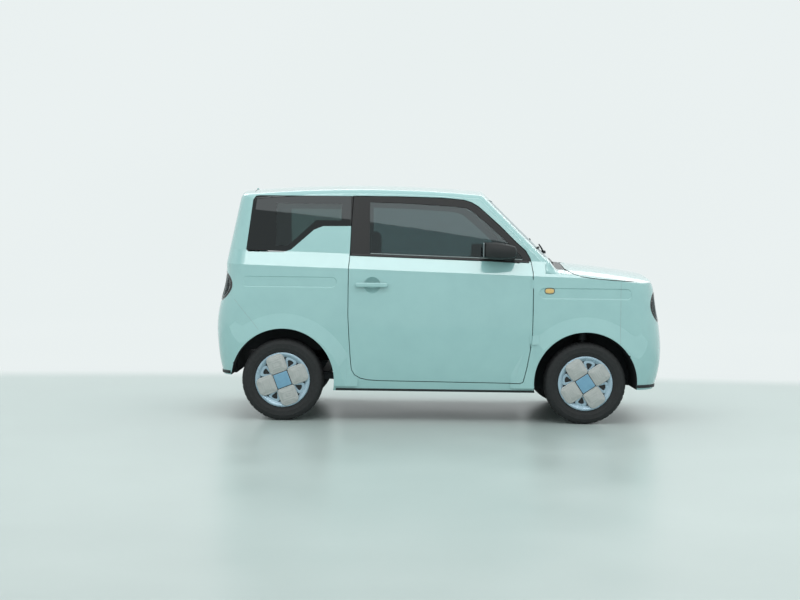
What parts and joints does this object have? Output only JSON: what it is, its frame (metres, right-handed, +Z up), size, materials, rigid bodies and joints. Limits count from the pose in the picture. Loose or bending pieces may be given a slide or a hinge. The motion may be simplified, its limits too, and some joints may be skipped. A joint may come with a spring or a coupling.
{
  "type": "city car",
  "caption": "Small three-door electric hatchback with opening doors, bonnet and tailgate, steered front wheels and free-turning wheels.",
  "frame": {"origin": "on the ground under the middle of the overall length and width, standing on its four tyres", "axes": "+X towards the front of the car, +Y to the car's left, +Z up"},
  "size_m": [3.063, 1.71, 1.6],
  "materials": {
    "paint_body": "gloss",
    "underbody": "matt",
    "glass_tint": "gloss",
    "trim_black": "satin",
    "lens_clear": "gloss",
    "seat_cloth": "woven",
    "interior_plastic": "grained",
    "steel_dark": "satin",
    "drive_alloy": "cast",
    "pack_casing": "matt",
    "wheel_cover": "satin",
    "tyre_rubber": "matt"
  },
  "bodies": {
    "body": {"floor_pan": "underbody", "front_structure": "underbody", "side_frame_right": "paint_body", "side_frame_left": "paint_body", "fender_right": "paint_body", "fender_left": "paint_body", "front_bumper": "paint_body", "rear_bumper": "paint_body", "roof_panel": "paint_body", "cowl_panel": "trim_black", "windscreen": "glass_tint", "quarter_glasses": "glass_tint", "lamp_housings": "trim_black", "lamp_lenses": "lens_clear", "grille": "trim_black", "dashboard": "interior_plastic", "steering_wheel": "interior_plastic", "seat_bases": "steel_dark", "front_seats": "seat_cloth", "rear_bench": "seat_cloth", "battery_pack": "pack_casing", "drive_unit": "drive_alloy", "power_boxes": "drive_alloy", "rear_axle": "steel_dark", "front_subframe": "steel_dark"},
    "door_right": {"door_right": "paint_body", "door_glass_right": "glass_tint", "mirror_right": "trim_black"},
    "door_left": {"door_left": "paint_body", "door_glass_left": "glass_tint", "mirror_left": "trim_black"},
    "bonnet": {"bonnet": "paint_body"},
    "tailgate": {"tailgate": "paint_body", "tailgate_glass": "glass_tint"},
    "steer_right": {"upright_right": "steel_dark"},
    "steer_left": {"upright_left": "steel_dark"},
    "wheel_fr": {"rim_fr": "wheel_cover", "tyre_fr": "tyre_rubber"},
    "wheel_fl": {"rim_fl": "wheel_cover", "tyre_fl": "tyre_rubber"},
    "wheel_rr": {"rim_rr": "wheel_cover", "tyre_rr": "tyre_rubber"},
    "wheel_rl": {"rim_rl": "wheel_cover", "tyre_rl": "tyre_rubber"}
  },
  "joints": [
    {"name": "door_right_hinge", "type": "hinge", "parent": "body", "child": "door_right", "pos_m": [0.606, -0.731, 0.745], "axis": [0, 0, 1], "range_deg": [0, 62]},
    {"name": "door_left_hinge", "type": "hinge", "parent": "body", "child": "door_left", "pos_m": [0.606, 0.731, 0.745], "axis": [0, 0, -1], "range_deg": [0, 62]},
    {"name": "bonnet_hinge", "type": "hinge", "parent": "body", "child": "bonnet", "pos_m": [0.85, 0, 1.065], "axis": [0, -1, 0], "range_deg": [0, 50]},
    {"name": "tailgate_hinge", "type": "hinge", "parent": "body", "child": "tailgate", "pos_m": [-1.276, 0, 1.558], "axis": [0, 1, 0], "range_deg": [0, 75]},
    {"name": "steer_right", "type": "hinge", "parent": "body", "child": "steer_right", "pos_m": [0.97, -0.606, 0.205], "axis": [0, 0.1914, 0.9815], "range_deg": [-32, 32]},
    {"name": "steer_left", "type": "hinge", "parent": "body", "child": "steer_left", "pos_m": [0.97, 0.606, 0.205], "axis": [0, -0.1914, 0.9815], "range_deg": [-32, 32]},
    {"name": "wheel_fr_spin", "type": "hinge", "parent": "steer_right", "child": "wheel_fr", "pos_m": [0.97, -0.6525, 0.272], "axis": [0, 1, 0], "continuous": true},
    {"name": "wheel_fl_spin", "type": "hinge", "parent": "steer_left", "child": "wheel_fl", "pos_m": [0.97, 0.6525, 0.272], "axis": [0, 1, 0], "continuous": true},
    {"name": "wheel_rr_spin", "type": "hinge", "parent": "body", "child": "wheel_rr", "pos_m": [-1.045, -0.6525, 0.272], "axis": [0, 1, 0], "continuous": true},
    {"name": "wheel_rl_spin", "type": "hinge", "parent": "body", "child": "wheel_rl", "pos_m": [-1.045, 0.6525, 0.272], "axis": [0, 1, 0], "continuous": true}
  ],
  "couplings": [
    {"joint": "steer_left", "follows": "steer_right", "ratio": 1}
  ]
}
